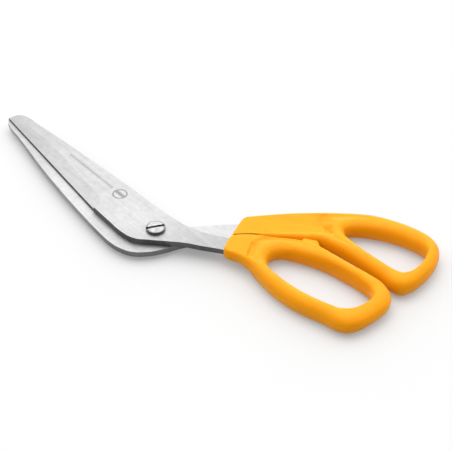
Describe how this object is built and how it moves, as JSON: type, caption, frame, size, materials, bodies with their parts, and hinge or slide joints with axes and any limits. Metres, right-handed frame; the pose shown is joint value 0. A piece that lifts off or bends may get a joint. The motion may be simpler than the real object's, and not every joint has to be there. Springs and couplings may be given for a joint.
{
  "type": "poultry shears",
  "caption": "Hand shears with long straight blunt-tipped steel blades on a slotted pivot screw, and moulded yellow plastic loop handles bent away from the blade line.",
  "frame": {"origin": "on the pivot axis, at the end face of the pivot screw, which is the level of the surface that the shears lie on", "axes": "+X along the closed blades towards the tips, +Z along the pivot axis from the screw's end towards its head, the lying thickness"},
  "size_m": [0.2662, 0.1442, 0.0128],
  "materials": {
    "blade_steel": "satin",
    "yellow_plastic": "semi-gloss",
    "bright_steel": "polished"
  },
  "bodies": {
    "lower_half": {"lower_blade": "blade_steel", "thumb_handle": "yellow_plastic", "pivot_screw": "bright_steel", "flat_washer": "bright_steel", "spring_washer": "bright_steel", "pivot_nut": "bright_steel"},
    "upper_half": {"upper_blade": "blade_steel", "finger_handle": "yellow_plastic"}
  },
  "joints": [
    {"name": "blade_pivot", "type": "hinge", "parent": "lower_half", "child": "upper_half", "pos_m": [0, 0, 0.0065], "axis": [0, 0, -1], "range_deg": [0, 60]}
  ]
}
